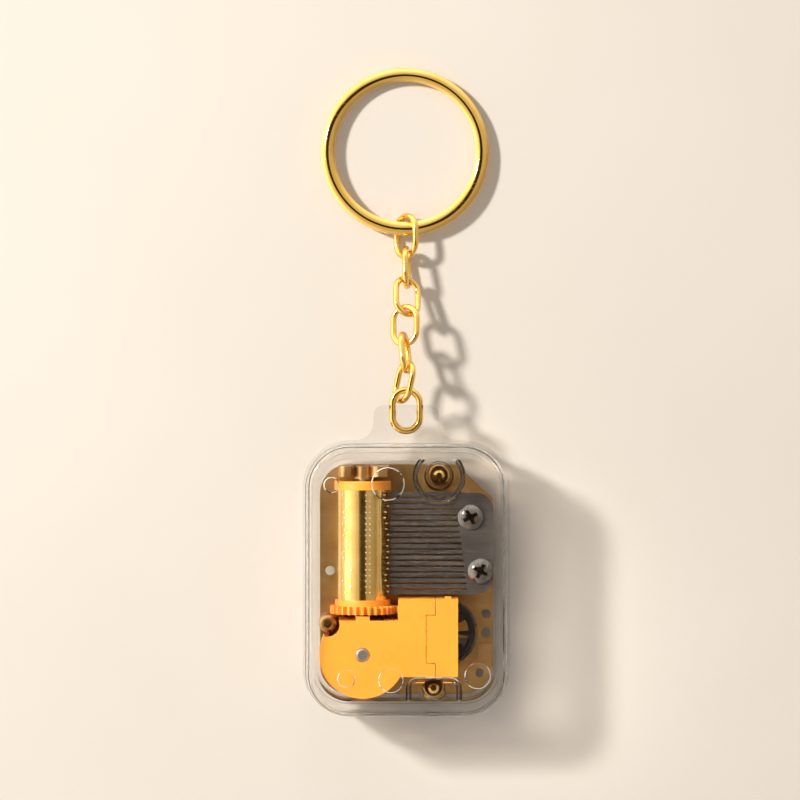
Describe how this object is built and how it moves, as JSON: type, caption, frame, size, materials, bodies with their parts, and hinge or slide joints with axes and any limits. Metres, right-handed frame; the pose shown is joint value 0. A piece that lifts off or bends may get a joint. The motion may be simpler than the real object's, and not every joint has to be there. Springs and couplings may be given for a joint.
{
  "type": "cylinder music box",
  "caption": "Small wind-up cylinder music movement in a clear rounded two-shell case with a tab, on a short chain of oval links with a split ring.",
  "frame": {"origin": "centre of the case's back face, on which the object lies", "axes": "+X to the right and +Y towards the split ring when seen from the front; +Z out of the front face"},
  "size_m": [0.0364, 0.1151, 0.0195],
  "materials": {
    "clear_case": "clear polished moulded acrylic",
    "gold_plate": "bright gold-coloured plating over metal",
    "brass": "plain satin brass",
    "yellow_plastic": "warm yellow moulded plastic with a soft gloss",
    "dark_steel": "dark ground spring steel",
    "bright_steel": "bright turned and plated steel",
    "black_plastic": "black moulded plastic"
  },
  "bodies": {
    "case": {"front_cover": "clear_case", "rear_cover": "clear_case", "cover_screws": "gold_plate", "bedplate": "gold_plate", "comb": "dark_steel", "comb_weights": "dark_steel", "comb_screws": "bright_steel", "click_rivet": "brass", "movement_cover": "yellow_plastic", "governor_cover": "yellow_plastic"},
    "cylinder": {"cylinder_tube": "gold_plate", "cylinder_end_cap": "yellow_plastic", "cylinder_gear": "yellow_plastic", "cylinder_shaft": "bright_steel"},
    "barrel": {"spring_barrel": "brass", "barrel_lid": "yellow_plastic", "mainspring": "dark_steel"},
    "winder": {"winding_arbor": "bright_steel", "ratchet_wheel": "bright_steel", "key_hub": "gold_plate"},
    "bail": {"key_bail": "gold_plate"},
    "click": {"click": "bright_steel"},
    "first_wheel": {"first_wheel": "yellow_plastic", "first_arbor": "bright_steel"},
    "second_wheel": {"second_pinion": "yellow_plastic", "worm_wheel": "yellow_plastic", "second_arbor": "bright_steel"},
    "governor": {"worm_shaft": "bright_steel", "governor_disc": "black_plastic", "governor_weights": "gold_plate"},
    "post_link": {"post_link": "gold_plate"},
    "chain_link_1": {"chain_link_1": "gold_plate"},
    "chain_link_2": {"chain_link_2": "gold_plate"},
    "chain_link_3": {"chain_link_3": "gold_plate"},
    "chain_link_4": {"chain_link_4": "gold_plate"},
    "chain_link_5": {"chain_link_5": "gold_plate"},
    "chain_link_6": {"chain_link_6": "gold_plate"},
    "split_ring": {"split_ring": "gold_plate"}
  },
  "joints": [
    {"name": "cylinder_turn", "type": "hinge", "parent": "case", "child": "cylinder", "pos_m": [-0.0076, 0, 0.0117], "axis": [0, 1, 0], "continuous": true},
    {"name": "barrel_turn", "type": "hinge", "parent": "case", "child": "barrel", "pos_m": [-0.0076, -0.0131, 0.009], "axis": [0, 0, 1], "continuous": true},
    {"name": "first_wheel_turn", "type": "hinge", "parent": "case", "child": "first_wheel", "pos_m": [-0.0007, -0.006, 0.0117], "axis": [0, 1, 0], "continuous": true},
    {"name": "second_wheel_turn", "type": "hinge", "parent": "case", "child": "second_wheel", "pos_m": [0.0031, -0.009, 0.01295], "axis": [0, 1, 0], "continuous": true},
    {"name": "governor_turn", "type": "hinge", "parent": "case", "child": "governor", "pos_m": [0.0064, -0.00975, 0.009], "axis": [0, 0, 1], "continuous": true},
    {"name": "winding_turn", "type": "hinge", "parent": "case", "child": "winder", "pos_m": [-0.0076, -0.0131, 0.002], "axis": [0, 0, 1], "continuous": true},
    {"name": "bail_fold", "type": "hinge", "parent": "winder", "child": "bail", "pos_m": [-0.0076, -0.0131, 0.0011], "axis": [-1, 0, 0], "range_deg": [0, 180]},
    {"name": "click_swing", "type": "hinge", "parent": "case", "child": "click", "pos_m": [-0.0015, -0.0112, 0.00415], "axis": [0, 0, 1], "range_deg": [-8, 0]},
    {"name": "post_link_swing", "type": "hinge", "parent": "case", "child": "post_link", "pos_m": [0, 0.02815, 0.00975], "axis": [0, 0, 1], "range_deg": [-12, 12]},
    {"name": "chain_link_1_swing", "type": "hinge", "parent": "post_link", "child": "chain_link_1", "pos_m": [0, 0.03315, 0.00975], "axis": [1, 0, 0], "range_deg": [-14, 14]},
    {"name": "chain_link_2_swing", "type": "hinge", "parent": "chain_link_1", "child": "chain_link_2", "pos_m": [0.00036, 0.03793, 0.00899], "axis": [0.5214, -0.0957, 0.8479], "range_deg": [-14, 14]},
    {"name": "chain_link_3_swing", "type": "hinge", "parent": "chain_link_2", "child": "chain_link_3", "pos_m": [-0.00048, 0.04301, 0.00706], "axis": [-0.2643, 0.2453, 0.9327], "range_deg": [-14, 14]},
    {"name": "chain_link_4_swing", "type": "hinge", "parent": "chain_link_3", "child": "chain_link_4", "pos_m": [-0.0002, 0.0479, 0.00628], "axis": [0.9135, 0.0984, 0.3947], "range_deg": [-14, 14]},
    {"name": "chain_link_5_swing", "type": "hinge", "parent": "chain_link_4", "child": "chain_link_5", "pos_m": [0.00014, 0.05292, 0.004], "axis": [0.8526, -0.205, -0.4806], "range_deg": [-14, 14]},
    {"name": "chain_link_6_swing", "type": "hinge", "parent": "chain_link_5", "child": "chain_link_6", "pos_m": [0.00009, 0.05832, 0.0028], "axis": [0.1184, -0.2132, -0.9698], "range_deg": [-12, 12]},
    {"name": "split_ring_swing", "type": "hinge", "parent": "chain_link_6", "child": "split_ring", "pos_m": [-0.00019, 0.06199, 0.00239], "axis": [1, 0, 0], "range_deg": [-12, 12]}
  ],
  "couplings": [
    {"joint": "barrel_turn", "follows": "cylinder_turn", "ratio": 0.73684},
    {"joint": "first_wheel_turn", "follows": "cylinder_turn", "ratio": -3.5},
    {"joint": "second_wheel_turn", "follows": "cylinder_turn", "ratio": 10.5},
    {"joint": "governor_turn", "follows": "cylinder_turn", "ratio": 252}
  ]
}
